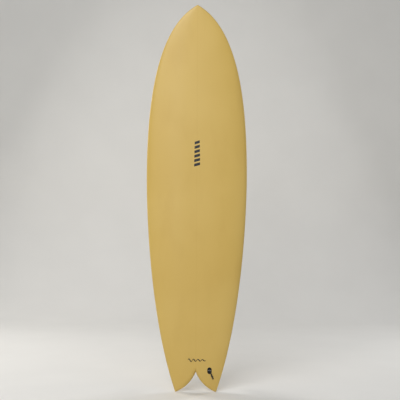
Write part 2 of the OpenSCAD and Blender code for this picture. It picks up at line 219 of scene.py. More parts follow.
class Surface:
    """A node material that is built up one named step at a time, in object space."""

    def __init__(self, name, colour, roughness):
        self.material = bpy.data.materials.new(name)
        self.material.use_nodes = True
        self.tree = self.material.node_tree
        self.shader = self.tree.nodes["Principled BSDF"]
        self.place = self.node("ShaderNodeTexCoord").outputs["Object"]
        self.colour = colour
        self.roughness = roughness
        self.normal = None

    def node(self, kind, settings=None, **inputs):
        """Adds a shader node with its settings and inputs by name."""
        made = self.tree.nodes.new(kind)
        for key, value in (settings or {}).items():
            setattr(made, key, value)
        for key, value in inputs.items():
            self.put(made.inputs[key.replace("_", " ")], value)
        return made

    def put(self, socket, value):
        """Links another socket, or sets a plain value."""
        if isinstance(value, bpy.types.NodeSocket):
            self.tree.links.new(value, socket)
        else:
            socket.default_value = value

    def math(self, operation, a, b=0.0, clamp=False):
        """Result of a calculation with sockets or numbers."""
        made = self.node("ShaderNodeMath", {"operation": operation, "use_clamp": clamp})
        self.put(made.inputs[0], a)
        self.put(made.inputs[1], b)
        return made.outputs[0]

    def stretched(self, x, y, z):
        """Object space scaled along each axis."""
        made = self.node("ShaderNodeMapping", Vector=self.place)
        made.inputs["Scale"].default_value = (x, y, z)
        return made.outputs[0]

    def noise(self, scale, detail=3.0, stretch=None):
        """Noise with so many lumps a metre; a stretch below 1 draws them out along an axis."""
        place = self.stretched(*stretch) if stretch else self.place
        made = self.node("ShaderNodeTexNoise", Vector=place, Scale=scale, Detail=detail)
        return made.outputs["Fac"]

    def bands(self, axis, period):
        """Stripes across an axis, one for each period in metres."""
        made = self.node("ShaderNodeTexWave", {"wave_type": "BANDS", "bands_direction": axis},
                         Vector=self.place, Scale=2 * math.pi / WAVE_TEXTURE_TURN / period)
        return made.outputs["Fac"]

    def weave(self, period, across="X", along="Z"):
        """Plain weave: bumps of two sets of threads that take turns on top."""
        a, b = self.bands(across, period), self.bands(along, period)
        over = self.math("GREATER_THAN", self.math(
            "MULTIPLY", self.math("SUBTRACT", self.bands(across, 2 * period), 0.5),
            self.math("SUBTRACT", self.bands(along, 2 * period), 0.5)), 0.0)
        return self.math("ADD", self.math("MULTIPLY", a, over),
                         self.math("MULTIPLY", b, self.math("SUBTRACT", 1.0, over)))

    def axis(self, name):
        """One coordinate of object space."""
        return self.node("ShaderNodeSeparateXYZ", Vector=self.place).outputs[name]

    def between(self, value, low, high, to_low=0.0, to_high=1.0):
        """Smooth step of a value from one level to another as it goes from low to high."""
        made = self.node("ShaderNodeMapRange", {"interpolation_type": "SMOOTHSTEP"}, Value=value)
        for key, number in zip(("From Min", "From Max", "To Min", "To Max"),
                               (low, high, to_low, to_high)):
            made.inputs[key].default_value = number
        return made.outputs[0]

    def tint(self, factor, colour, strength=1.0):
        """Lays a colour over what is there, by a factor."""
        made = self.node("ShaderNodeMix", {"data_type": "RGBA"})
        amount = factor if strength == 1.0 else self.math("MULTIPLY", factor, strength)
        self.put(made.inputs[MIX_FACTOR], amount)
        self.put(made.inputs[MIX_UNDER], self.colour)
        self.put(made.inputs[MIX_OVER], colour)
        self.colour = made.outputs[MIX_RESULT]

    def rough(self, factor, amount):
        """Raises or lowers the roughness where the factor leaves one half."""
        offset = self.math("MULTIPLY", self.math("SUBTRACT", factor, 0.5), amount)
        self.roughness = self.math("ADD", offset, self.roughness, clamp=True)

    def bump(self, height, distance, strength):
        """Lays bumps of a height in metres over what is there."""
        made = self.node("ShaderNodeBump", Height=height, Distance=distance, Strength=strength)
        if self.normal is not None:
            self.put(made.inputs["Normal"], self.normal)
        self.normal = made.outputs[0]

    def done(self, **extra):
        """Joins everything to the shader, with its further inputs by name."""
        self.put(self.shader.inputs["Base Color"], self.colour)
        self.put(self.shader.inputs["Roughness"], self.roughness)
        if self.normal is not None:
            self.put(self.shader.inputs["Normal"], self.normal)
        for key, value in extra.items():
            self.put(self.shader.inputs[key.replace("_", " ")], value)
        return self.material


MUSTARD = linear(204, 171, 88)
MUSTARD_DEEP = linear(187, 149, 67)
MUSTARD_PALE = linear(219, 190, 113)
CLOTH_PERIOD = 1.5 * MM
FIN_CLOTH_PERIOD = 1.2 * MM
FIN_LAYERS = 11


def pigment_resin(name, lapped):
    """Opaque pigmented resin over glass cloth, sanded to a satin finish."""
    s = Surface(name, MUSTARD, roughness=0.44)
    clouds = s.between(s.noise(2.2, detail=2.0), 0.40, 0.66)
    s.tint(clouds, MUSTARD_PALE, strength=0.22)
    streaks = s.noise(9.0, detail=4.0, stretch=(1.0, 1.0, 0.45))
    s.tint(s.between(streaks, 0.48, 0.72), MUSTARD_DEEP, strength=0.16)
    specks = s.noise(900.0, detail=2.0)
    s.tint(s.between(specks, 0.60, 0.80), MUSTARD_DEEP, strength=0.18)
    if lapped:
        blotches = s.noise(34.0)
        double_coat = s.between(blotches, 0.2, 0.9, to_low=0.45, to_high=0.8)
        s.tint(double_coat, MUSTARD_DEEP)
    weave = s.weave(CLOTH_PERIOD)
    s.tint(s.between(weave, 0.35, 0.9), MUSTARD_DEEP, strength=0.05)
    from_stringer = s.math("ABSOLUTE", s.axis("X"))
    stringer_shadow = s.between(from_stringer, 2.2 * MM, 3.4 * MM, to_low=1.0, to_high=0.0)
    s.tint(stringer_shadow, MUSTARD_DEEP, strength=0.1)
    s.rough(s.noise(14.0, detail=4.0), amount=0.10)
    scuffs = s.noise(260.0, detail=2.0, stretch=(1.0, 1.0, 0.06))
    s.rough(scuffs, amount=0.08)
    s.bump(weave, distance=0.03 * MM, strength=0.35)
    s.bump(s.noise(6.0, detail=2.0), distance=0.5 * MM, strength=0.25)
    sanding = s.noise(420.0, stretch=(1.0, 1.0, 0.05))
    s.bump(sanding, distance=0.012 * MM, strength=0.5)
    return s.done(Coat_Weight=0.14, Coat_Roughness=0.2, IOR=1.5)


def foam_material():
    """Cream polyurethane foam with fine cells."""
    s = Surface("blown_foam", linear(240, 235, 218), roughness=0.9)
    patches = s.between(s.noise(12.0, detail=4.0), 0.3, 0.7)
    s.tint(patches, linear(232, 222, 196), strength=0.5)
    cells = s.node("ShaderNodeTexVoronoi", Vector=s.place, Scale=1600.0).outputs["Distance"]
    s.bump(cells, distance=0.1 * MM, strength=0.7)
    return s.done()


def wood_material():
    """Pale basswood with its grain along the board."""
    s = Surface("stringer_wood", linear(206, 170, 116), roughness=0.7)
    grain = s.noise(500.0, detail=5.0, stretch=(1.0, 1.0, 0.03))
    s.tint(s.between(grain, 0.35, 0.75), linear(160, 116, 68), strength=0.6)
    s.bump(grain, distance=0.06 * MM, strength=0.6)
    return s.done()


def ink_material():
    """Near-black print on thin paper under the resin."""
    s = Surface("printed_ink", linear(8, 10, 20), roughness=0.42)
    specks = s.between(s.noise(2600.0), 0.66, 0.78)
    s.tint(specks, linear(70, 66, 58), strength=0.3)
    fading = s.between(s.noise(60.0), 0.35, 0.75)
    s.tint(fading, linear(22, 25, 40), strength=0.6)
    s.bump(s.noise(3000.0, detail=2.0), distance=0.02 * MM, strength=0.5)
    return s.done(Coat_Weight=0.22, Coat_Roughness=0.16)


def pencil_material():
    """Graphite line that skips over the cloth's texture."""
    s = Surface("graphite_line", linear(10, 9, 12), roughness=0.5)
    skips = s.between(s.noise(2400.0), 0.48, 0.62)
    s.tint(skips, linear(150, 122, 68), strength=0.1)
    s.bump(s.noise(3500.0, detail=2.0), distance=0.02 * MM, strength=0.5)
    return s.done()


def moulded_black(name, colour, roughness, flow_scale):
    """Glass-filled moulded plastic with a fine grain and faint flow marks."""
    s = Surface(name, colour, roughness)
    flow = s.between(s.noise(flow_scale, detail=4.0), 0.35, 0.8)
    s.tint(flow, linear(52, 52, 55), strength=0.5)
    glass_fibres = s.between(s.noise(5200.0, detail=2.0), 0.68, 0.8)
    s.tint(glass_fibres, linear(92, 92, 94), strength=0.35)
    s.rough(s.noise(700.0), amount=0.22)
    s.bump(s.noise(3800.0), distance=0.03 * MM, strength=0.8)
    return s.done(Specular_IOR_Level=0.45)


def steel_material():
    """Stainless steel, turned and slightly dulled by salt."""
    s = Surface("stainless_steel", linear(190, 192, 196), roughness=0.28)
    salt = s.between(s.noise(900.0, detail=4.0), 0.5, 0.8)
    s.tint(salt, linear(132, 130, 126), strength=0.55)
    s.rough(s.noise(1500.0, detail=4.0), amount=0.3)
    turning = s.noise(2500.0, detail=2.0, stretch=(1.0, 8.0, 1.0))
    s.bump(turning, distance=0.015 * MM, strength=0.6)
    return s.done(Metallic=1.0)


def fin_material():
    """Hand-foiled glass laminate: cloth layers show as contour lines round the foil."""
    s = Surface("fin_laminate", linear(32, 34, 37), roughness=0.3)
    thickness = s.node("ShaderNodeAttribute", {"attribute_name": FOIL_ATTRIBUTE}).outputs["Fac"]
    uneven = s.math("ADD", thickness, s.math("MULTIPLY", s.noise(30.0), 0.05))
    layers = s.math("SINE", s.math("MULTIPLY", uneven, 2 * math.pi * FIN_LAYERS))
    s.tint(s.between(layers, 0.55, 0.95), linear(88, 92, 96), strength=0.55)
    patches = s.between(s.noise(14.0, detail=4.0), 0.35, 0.75)
    s.tint(patches, linear(20, 21, 24), strength=0.6)
    weave = s.weave(FIN_CLOTH_PERIOD, "Y", "Z")
    s.tint(s.between(weave, 0.55, 1.0), linear(66, 70, 74), strength=0.35)
    s.rough(s.noise(80.0), amount=0.12)
    s.bump(weave, distance=0.03 * MM, strength=0.4)
    sanding = s.noise(900.0, detail=2.0, stretch=(1.0, 0.05, 1.0))
    s.bump(sanding, distance=0.01 * MM, strength=0.6)
    return s.done(Coat_Weight=0.6, Coat_Roughness=0.1)


def cord_material():
    """Black polyester braid with a little salt dust in the hollows."""
    s = Surface("braided_cord", linear(24, 24, 27), roughness=0.7)
    fibres = s.noise(5200.0, stretch=(1.0, 1.0, 0.35))
    s.tint(s.between(fibres, 0.4, 0.75), linear(58, 58, 62), strength=0.6)
    dust = s.between(s.noise(300.0), 0.6, 0.8)
    s.tint(dust, linear(96, 94, 88), strength=0.22)
    s.bump(fibres, distance=0.08 * MM, strength=0.8)
    return s.done(Sheen_Weight=0.25)


# ---------------------------------------------------------------- mesh helpers
def new_object(name, mesh, body, materials, replaced):
    """Adds a piece that moves with a body and takes the place of a CAD node."""
    made = bpy.data.objects.new(name, mesh)
    bpy.context.scene.collection.objects.link(made)
    for material in materials:
        mesh.materials.append(material)
    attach(made, body)
    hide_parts(replaced)
    return made


WELD_DISTANCE = 2e-6
SHORTEST_EDGE = 1e-6
OVAL_STEPS = 40
OPENING_STEPS = 20
CORNER_STEPS = 4


def finish_mesh(bm, name, sharp_degrees=38):
    """Welds, points the faces outwards, and shades smooth except over sharp edges."""
    bmesh.ops.remove_doubles(bm, verts=bm.verts, dist=WELD_DISTANCE)
    bmesh.ops.dissolve_degenerate(bm, dist=SHORTEST_EDGE, edges=bm.edges)
    bmesh.ops.recalc_face_normals(bm, faces=bm.faces)
    for face in bm.faces:
        face.smooth = True
    limit = math.radians(sharp_degrees)
    for edge in bm.edges:
        if len(edge.link_faces) != 2 or edge.calc_face_angle(0) > limit:
            edge.smooth = False
    mesh = bpy.data.meshes.new(name)
    bm.to_mesh(mesh)
    bm.free()
    return mesh


def add_grid(bm, points, closed=False):
    """Faces over rows of points; closed joins each row's end to its start."""
    rows, cols = points.shape[:2]
    verts = [[bm.verts.new(p) for p in row] for row in points]
    for r in range(rows - 1):
        for c in range(cols if closed else cols - 1):
            d = (c + 1) % cols
            bm.faces.new((verts[r][c], verts[r][d], verts[r + 1][d], verts[r + 1][c]))
    return verts


def add_tube(bm, rings):
    """Closed solid through rings of points, with a flat face over both ends."""
    verts = add_grid(bm, rings, closed=True)
    bm.faces.new(verts[0][::-1])
    bm.faces.new(verts[-1])


def capsule_outline(length, width, steps):
    """Closed outline with straight sides and round ends."""
    straight, radius = (length - width) / 2, width / 2
    ends = []
    for sign in (1, -1):
        for a in np.linspace(0, math.pi, steps):
            ends.append((sign * radius * math.cos(a), sign * (straight + radius * math.sin(a))))
    return ends


def turn_oval(bm, profile, straight, matrix):
    """Carries (half width, height) points round an oval with straight sides, in millimetres."""
    rings = [[tuple(matrix @ (Vector((x, y, h)) * MM))
              for x, y in capsule_outline(2 * (r + straight), 2 * r, OVAL_STEPS)]
             for r, h in profile]
    add_tube(bm, np.array(rings))


def cutter(name, matrix, outline, low, high):
    """Straight prism over a closed outline of local (x, y) points."""
    bm = bmesh.new()
    rings = [[tuple(matrix @ Vector((x, y, h))) for x, y in outline] for h in (low, high)]
    add_tube(bm, np.array(rings))
    bmesh.ops.recalc_face_normals(bm, faces=bm.faces)
    mesh = bpy.data.meshes.new(name)
    bm.to_mesh(mesh)
    bm.free()
    made = bpy.data.objects.new(name, mesh)
    bpy.context.scene.collection.objects.link(made)
    return made


def cut(target, cutters):
    """Takes the cutters out of the target's mesh and removes them."""
    for tool in cutters:
        step = target.modifiers.new("cut", "BOOLEAN")
        step.operation = "DIFFERENCE"
        step.solver = "EXACT"
        step.object = tool
    bpy.context.view_layer.update()
    evaluated = target.evaluated_get(bpy.context.evaluated_depsgraph_get())
    bm = bmesh.new()
    bm.from_mesh(evaluated.to_mesh())
    evaluated.to_mesh_clear()
    target.modifiers.clear()
    old = target.data
    target.data = finish_mesh(bm, old.name)
    for material in old.materials:
        target.data.materials.append(material)
    for tool in cutters:
        bpy.data.objects.remove(tool)


# ---------------------------------------------------------------- points of the skins
TAIL_ROWS = 64
BODY_ROWS = 190
NOSE_ROWS = 70
DECK_COLS = 44
LAP_COLS = 16
WALL_COLS = 5
INNER_COLS = 26
NOSE_SPAN = 330.0
NOTCH_GAP = 0.03
SETTLE_HEIGHT = 260

# heights of the cross-sections, closer together at both tips and on both sides of the notch's end
heights = np.concatenate([
    (NOTCH - NOTCH_GAP) * np.sin(np.linspace(0, math.pi / 2, TAIL_ROWS)) ** 1.6,
    NOTCH + (LENGTH - NOSE_SPAN - NOTCH) * np.linspace(0, 1, BODY_ROWS) ** 1.25,
    LENGTH - NOSE_SPAN * (1 - np.linspace(0, 1, NOSE_ROWS)[1:]) ** 1.8,
])


def section_rows(inset):
    """Edges, levels and thickness of every cross-section, inset by the skin or by nothing."""
    z = heights
    width, edge, thick = half_width(z), notch_edge(z), board_thickness(z)
    inner_thick = shrink(thick, 2 * inset)
    mid, reach = (edge + width) / 2, shrink((width - edge) / 2, inset)
    split = z < NOTCH - TINY
    left = np.where(split, mid - reach, 0)
    right = np.where(split, mid + reach, shrink(width, inset))
    level = z + inset * (1 - 2 * z / LENGTH)
    base = BASE_Y - rocker(z) - (thick - inner_thick) / 2
    return z, level, base, inner_thick, left, right, split


def lap_width(z, left, right):
    """A hand-cut lap line that wanders a little along the board."""
    wander = 1.6 * np.sin(z / 61.0) + 1.1 * np.sin(z / 23.0 + 1.0)
    return np.minimum(LAP + wander, 0.35 * (right - left))


def column(values):
    """The same values as one column, so that each applies to a whole row of points."""
    return values[:, None]


def skin_point_rows(inset):
    """Rows of points over the right half: the deck out to the rail, the lap under it, the bottom
    from the lap to the centreline or the notch, and the inner wall of the tail tip."""
    z, level, base, thick, left, right, split = section_rows(inset)
    deck_steps = np.linspace(0, 1, DECK_COLS + 1)
    close_to_rail = np.sin(deck_steps * math.pi / 2)
    close_to_both = (1 - np.cos(deck_steps * math.pi)) / 2
    settle = way_along(z, NOTCH, NOTCH + SETTLE_HEIGHT)
    settle = column(settle ** 2 * (3 - 2 * settle))
    spread = close_to_both * (1 - settle) + close_to_rail * settle
    width = half_width(z)
    scale = width / np.maximum(right, TINY)

    def place(x, share):
        y = column(base) - column(thick) * share
        return np.stack([x, y, np.broadcast_to(column(level), x.shape)], -1) * MM

    deck_x = column(left) + column(right - left) * spread
    outer_x = column(notch_edge(z)) + column(width - notch_edge(z)) * spread
    deck = place(deck_x, deck_share(outer_x, column(z), column(width)))
    lap_edge = right - lap_width(z, left, right)
    lap_steps = np.sin(np.linspace(1, 0, LAP_COLS + 1) * math.pi / 2)
    lap_x = column(lap_edge) + column(right - lap_edge) * lap_steps
    lap = place(lap_x, bottom_share(lap_x * column(scale), column(z), column(width)))
    even = np.linspace(0, 1, INNER_COLS + 1)
    close_to_notch = np.sin(even * math.pi / 2) ** 0.9
    inner_steps = close_to_notch * (1 - settle) + even * settle
    inner_x = column(lap_edge) + column(left - lap_edge) * inner_steps
    inner = place(inner_x, bottom_share(inner_x * column(scale), column(z), column(width)))
    wall_from = deck[:, :1]
    wall_to = inner[:, -1:]
    steps = np.linspace(1, 0, WALL_COLS + 1)[None, :-1, None]
    wall = wall_from + (wall_to - wall_from) * steps
    wall = np.where(split[:, None, None], wall, wall_from)
    return deck, lap, inner, wall


def skin_mesh(name, outer, inner, lap_faces):
    """Closed skin over both halves, from matching outer and inner rows of the right half."""
    loops = np.concatenate([outer, inner[:, ::-1]], 1)
    open_row = int(np.argmax(heights >= NOTCH - TINY))
    rows, cols = loops.shape[:2]
    bm = bmesh.new()
    for side in (1, -1):
        points = loops * np.array([side, 1, 1])
        verts = [[bm.verts.new(p) for p in row] for row in points]
        for r in range(rows - 1):
            for c in range(cols):
                if c == cols - 1 and r >= open_row:
                    continue
                d = (c + 1) % cols
                quad = [verts[r][c], verts[r][d], verts[r + 1][d], verts[r + 1][c]]
                face = bm.faces.new(quad if side > 0 else quad[::-1])
                face.material_index = 1 if c in lap_faces else 0
    return finish_mesh(bm, name, sharp_degrees=50)


# ---------------------------------------------------------------- places of fins and plug
FIN_SIDE = 145.0
FIN_HEIGHT = 245.0
FIN_TOE = 1.5
BOX_LENGTH = 134.0
BOX_WIDTH = 30.0
BOX_CLEAR = 0.4
BOX_CUT = 9
PLUG_SIDE = 76.5
PLUG_HEIGHT = 120.0
PLUG_LENGTH = 37.0
PLUG_WIDTH = 24.0
PLUG_CLEAR = 0.3
PLUG_CUT_DEPTH = 5
PLUG_CUT_RISE = 8
plug_frame = surface_frame(deck_y, PLUG_SIDE, PLUG_HEIGHT, -1)
right_fin_frame = surface_frame(bottom_y, FIN_SIDE, FIN_HEIGHT, 1) @ Matrix.Rotation(
    -math.radians(FIN_TOE), 4, "Z")
MIRROR = Matrix.Diagonal((-1, 1, 1, 1))
fin_frames = {"right": right_fin_frame, "left": MIRROR @ right_fin_frame}

# ---------------------------------------------------------------- the two skins, cut for fittings
resin = pigment_resin("pigmented_resin", False)
resin_lap = pigment_resin("pigmented_resin_lap", True)
outer_rows = skin_point_rows(0.0)
inner_rows = skin_point_rows(SKIN)


def deck_loop(rows):
    """Points of the deck skin in one run: up the inner wall, over the deck, round the lap."""
    deck, lap, _, wall = rows
    return np.concatenate([wall[:, ::-1], deck, lap[:, 1:]], 1)


# columns of faces under the rail, where the deck's cloth laps onto the bottom
lap_start = WALL_COLS + DECK_COLS + 2
lap_columns = set(range(lap_start, lap_start + LAP_COLS - 2))
deck_mesh = skin_mesh("deck_skin", deck_loop(outer_rows), deck_loop(inner_rows),
                      lap_columns)
deck = new_object("deck_skin", deck_mesh, "board", [resin, resin_lap],
                  "deck_glass")
bottom_mesh = skin_mesh("bottom_skin", inner_rows[2][:, ::-1], outer_rows[2][:, ::-1], set())
bottom = new_object("bottom_skin", bottom_mesh, "board", [resin],
                    "bottom_glass")


def opening_outline(length, width, clear):
    """Outline in metres of an opening a little larger than the fitting in it."""
    outline = capsule_outline(length + clear, width + clear, OPENING_STEPS)
    return [(x * MM, y * MM) for x, y in outline]


box_outline = opening_outline(BOX_LENGTH, BOX_WIDTH, BOX_CLEAR)
plug_outline = opening_outline(PLUG_LENGTH, PLUG_WIDTH, PLUG_CLEAR)
for skin in (deck, bottom):
    tools = [cutter("box_cut", fin_frames[side], box_outline, -BOX_CUT * MM, BOX_CUT * MM)
             for side in ("left", "right")]
    if skin is deck:
        tools.append(cutter("plug_cut", plug_frame, plug_outline,
                            -PLUG_CUT_DEPTH * MM, PLUG_CUT_RISE * MM))
    cut(skin, tools)


# ---------------------------------------------------------------- marks
def over_deck(points, lift):
    """Points in metres a little above the deck, at [x, z] places."""
    x, z = points[..., 0], points[..., 1]
    return np.stack([x, deck_y(x, z) - lift, z], -1) * MM


FILM_UNDER = 0.05
INK_TOP = 0.2
PENCIL_TOP = 0.16


def film(bm, edges, across, top):
    """Thin closed film between pairs of [x, z] edge points, with columns across it."""
    edges = np.asarray(edges, float)
    share = np.linspace(0, 1, across + 1)[None, :, None]
    grid = edges[:, :1] * (1 - share) + edges[:, 1:] * share
    lower = over_deck(grid, FILM_UNDER)
    loop = np.concatenate([over_deck(grid, top), lower[:, ::-1]], 1)
    verts = add_grid(bm, loop, closed=True)
    for row in (verts[0], verts[-1]):
        for c in range(across):
            bm.faces.new((row[c], row[c + 1], row[-2 - c], row[-1 - c]))


MARK_SIDE = 1.5
MARK_HEIGHT = 1327.0
MARK_LENGTH = 146.0
MARK_WIDTH = 33.0
MARK_BARS = 6
BAR_SHARE = 0.62
BAR_TAPER = 0.03
BAR_SLANT = 9.0
BAR_ROWS = 13
BAR_COLS = 6


def centre_mark():
    """Slanted bars one above another, a little shorter towards the top."""
    bm = bmesh.new()
    pitch = MARK_LENGTH / MARK_BARS
    for i in range(MARK_BARS):
        low = MARK_HEIGHT - MARK_LENGTH / 2 + pitch * i
        high = low + BAR_SHARE * pitch
        reach = MARK_WIDTH / 2 * (1 - BAR_TAPER * i)
        edges = []
        for a in np.linspace(0, 1, BAR_ROWS):
            x = MARK_SIDE - reach + 2 * reach * a
            rise = BAR_SLANT * (a - 0.5)
            edges.append([[x, high + rise], [x, low + rise]])
        film(bm, edges, BAR_COLS, INK_TOP)
    return finish_mesh(bm, "centre_bars")


new_object("centre_bars", centre_mark(), "board", [ink_material()],
           "centre_mark")


WAVE_SIDE = 6.0
WAVE_HEIGHT = 178.0
WAVE_LENGTH = 100.0
WAVE_RISE = 8
WAVE_FLATTEN = 0.6
WAVE_LINE = 3.6
WAVE_POINTS = 360
WAVE_COLS = 3
WAVES = 4
END_TAPER = 0.03
END_SHARE = 0.05
PRESSURE = 1.2
PRESSURE_SWING = 0.35


def tail_mark():
    """Wavy pencil line that flattens out, pressed harder on every downstroke."""
    bm = bmesh.new()
    t = np.linspace(0, 1, WAVE_POINTS)
    turn = 2 * math.pi * WAVES * t
    x = WAVE_SIDE + WAVE_LENGTH * (t - 0.5)
    z = WAVE_HEIGHT + WAVE_RISE * np.sin(turn) * (1 - WAVE_FLATTEN * t)
    path = np.stack([x, z], -1)
    along = np.gradient(path, axis=0)
    along /= column(np.linalg.norm(along, axis=1))
    across = np.stack([-along[:, 1], along[:, 0]], -1)
    ends = np.sqrt(np.clip(np.minimum(t, 1 - t) / END_TAPER, END_SHARE, 1))
    pressure = PRESSURE - PRESSURE_SWING * np.cos(turn)
    half = column(WAVE_LINE / 2 * ends * pressure)
    edges = np.stack([path + across * half, path - across * half], 1)
    film(bm, edges, WAVE_COLS, PENCIL_TOP)
    return finish_mesh(bm, "pencil_flourish")


new_object("pencil_flourish", tail_mark(), "board", [pencil_material()],
           "tail_mark")


# ---------------------------------------------------------------- fins
FIN_BASE = 150.0
FIN_DEPTH = 140.0
FIN_SWEEP = 128.0
FIN_SWEEP_POWER = 1.4
FIN_CANT = 6.0
FIN_NARROWING = 0.6
FIN_THINNING = 0.55
FIN_TIP_POWER = 6
FIN_ROWS = 70
FIN_COLS = 49
THICKEST = 0.35
BACK_THINNING = 0.94
BACK_POWER = 1.5
FLAT_SIDE_DEPTH = 0.02
BLADE_T = 8.2
BLADE_INSIDE = -3.6
BLADE_LIFT = 0.3
TAB_T = 6.3
TAB_LENGTH = 24.0
TAB_DEPTH = 11.0
TAB_OFFSET = 37.0
TAB_OVERLAP = 0.4
TAB_ROUNDING = 0.8


def foil(f):
    """Share of the full thickness at a share of the chord from the front."""
    front = np.sqrt(np.clip(1 - (1 - f / THICKEST) ** 2, 0, 1))
    back = 1 - BACK_THINNING * way_along(f, THICKEST, 1) ** BACK_POWER
    return np.where(f < THICKEST, front, back)


def rounded_box(bm, matrix, size, radius):
    """Block with every edge rounded, from rows round its middle."""
    wide, long, high = [side / 2 for side in size]
    ring = []
    for sign_x, sign_y, start in ((1, 1, 0), (-1, 1, 90), (-1, -1, 180), (1, -1, 270)):
        for a in np.radians(np.linspace(start, start + 90, CORNER_STEPS + 1)):
            ring.append((sign_x * (wide - radius) + radius * math.cos(a),
                         sign_y * (long - radius) + radius * math.sin(a)))
    lifts = [(-high, radius)]
    for a in np.radians(np.linspace(22, 90, CORNER_STEPS)):
        lifts.append((-high + radius * (1 - math.cos(a)), radius * (1 - math.sin(a))))
    lifts += [(-level, pull) for level, pull in lifts[::-1]]
    rows = []
    for level, pull in lifts:
        shape = np.array(ring) * np.array([(wide - pull) / wide, (long - pull) / long])
        rows.append([tuple(matrix @ (Vector((x, y, level)) * MM)) for x, y in shape])
    verts = add_grid(bm, np.array(rows), closed=True)
    bm.faces.new(verts[0])
    bm.faces.new(verts[-1][::-1])


def fin_mesh(matrix, name):
    """Swept blade, flat inside and foiled outside, with two tabs that go into the box."""
    bm = bmesh.new()
    # levels closer together towards the tip, and points towards both edges
    levels = 1 - (1 - np.linspace(0, 1, FIN_ROWS)) ** 1.9
    shares = (1 - np.cos(np.linspace(0, math.pi, FIN_COLS))) / 2
    rows, depths = [], []
    for a in levels:
        close = math.sqrt(max(1 - a ** FIN_TIP_POWER, 0))
        length = FIN_BASE * (1 - FIN_NARROWING * a) * close
        front = FIN_SWEEP * a ** FIN_SWEEP_POWER - FIN_BASE / 2
        full = BLADE_T * (1 - FIN_THINNING * a) * close
        lean = FIN_DEPTH * a * math.tan(math.radians(FIN_CANT))
        flat = BLADE_INSIDE + lean
        up = BLADE_LIFT + FIN_DEPTH * a
        outside = [(flat + full * f, front + length * share, up)
                   for share, f in zip(shares, foil(shares))]
        inside = [(flat, front + length * share, up) for share in shares[::-1]]
        depth = full * foil(shares) / BLADE_T
        rows.append([tuple(matrix @ (Vector(p) * MM)) for p in outside + inside])
        depths.append(list(depth) + [FLAT_SIDE_DEPTH] * len(inside))
    layer = bm.verts.layers.float.new(FOIL_ATTRIBUTE)
    verts = add_grid(bm, np.array(rows), closed=True)
    for row, line in zip(verts, depths):
        for v, d in zip(row, line):
            v[layer] = d
    bm.faces.new(verts[0][::-1])
    for end in (-1, 1):
        middle = Vector((0, end * TAB_OFFSET, (TAB_OVERLAP - TAB_DEPTH) / 2))
        rounded_box(bm, matrix @ Matrix.Translation(middle * MM),
                    (TAB_T, TAB_LENGTH, TAB_DEPTH + TAB_OVERLAP), TAB_ROUNDING)
    return finish_mesh(bm, name, sharp_degrees=40)


fin_finish = fin_material()
for side, place in fin_frames.items():
    new_object(side + "_fin_blade", fin_mesh(place, side + "_fin_blade"), side + "_fin",
               [fin_finish], "fin_" + side)


# ---------------------------------------------------------------- leash plug and cord
def arc(cx, cz, radius, start, end, steps):
    """Points of an arc in a profile, from one angle to another in degrees."""
    return [(cx + radius * math.cos(a), cz + radius * math.sin(a))
            for a in np.radians(np.linspace(start, end, steps))]


def plug_cup_mesh():
    """Moulded oval cup with a rounded lip, a shallow step inside it and a dished floor."""
    bm = bmesh.new()
    outside = [(9.0, -17.0), (11.2, -17.0), (12.0, -16.2), (12.0, -0.8)]
    lip = arc(11.3, -0.55, 0.7, 0, 90, 7) + arc(10.4, -0.45, 0.6, 90, 180, 7)
    step = [(9.75, -1.0), (9.3, -1.25), (9.0, -1.6), (8.8, -9.5)]
    dish = arc(5.0, -11.2, 3.8, 0, -90, 12) + [(3.0, -15.0)]
    profile = outside + lip + step + dish
    turn_oval(bm, profile, (PLUG_LENGTH - PLUG_WIDTH) / 2, plug_frame)
    return finish_mesh(bm, "plug_cup", sharp_degrees=45)


plug_plastic = moulded_black("plug_plastic", linear(24, 24, 27), roughness=0.38,
                             flow_scale=120.0)
box_plastic = moulded_black("box_plastic", linear(27, 27, 30), roughness=0.55,
                            flow_scale=90.0)
new_object("plug_cup", plug_cup_mesh(), "board", [plug_plastic], "leash_cup")


def smooth_path(points, steps):
    """Catmull-Rom curve through points."""
    points = [2 * points[0] - points[1]] + list(points) + [2 * points[-1] - points[-2]]
    out = []
    for i in range(1, len(points) - 2):
        p0, p1, p2, p3 = points[i - 1:i + 3]
        slope = p2 - p0
        square = 2 * p0 - 5 * p1 + 4 * p2 - p3
        cube = 3 * p1 - p0 - 3 * p2 + p3
        for t in np.linspace(0, 1, steps, endpoint=False):
            out.append(0.5 * (2 * p1 + slope * t + square * t ** 2 + cube * t ** 3))
    out.append(points[-2])
    return np.array(out)


def even_path(path, spacing):
    """The same path with its points an even distance apart."""
    lengths = np.concatenate([[0], np.cumsum(np.linalg.norm(np.diff(path, axis=0), axis=1))])
    at = np.linspace(0, lengths[-1], int(lengths[-1] / spacing) + 1)
    return np.stack([np.interp(at, lengths, path[:, k]) for k in range(3)], -1)


def path_sides(path):
    """Two directions across the path at each point, which don't twist along it."""
    tangent = np.gradient(path, axis=0)
    tangent /= column(np.linalg.norm(tangent, axis=1))
    side = np.cross(tangent[0], [0.3, 0.5, 0.8])
    sides = []
    for t in tangent:
        side = side - t * np.dot(side, t)
        side = side / np.linalg.norm(side)
        sides.append(side)
    sides = np.array(sides)
    return sides, np.cross(tangent, sides)


def tube(bm, path, radius, steps):
    """Round rod along a path, with flat ends."""
    a, b = path_sides(path)
    radius = np.broadcast_to(radius, len(path))[:, None, None]
    angles = np.linspace(0, 2 * math.pi, steps, endpoint=False)[None, :, None]
    rings = path[:, None] + radius * (a[:, None] * np.cos(angles) + b[:, None] * np.sin(angles))
    add_tube(bm, rings)


CORD_RADIUS = 1.65
BRAID_STRANDS = 6
BRAID_LAY = 9.0
BRAID_STEP = 0.3
CORE_SHARE = 0.80
STRAND_REACH = 0.76
STRAND_SHARE = 0.23
STRAND_RISE = 0.09


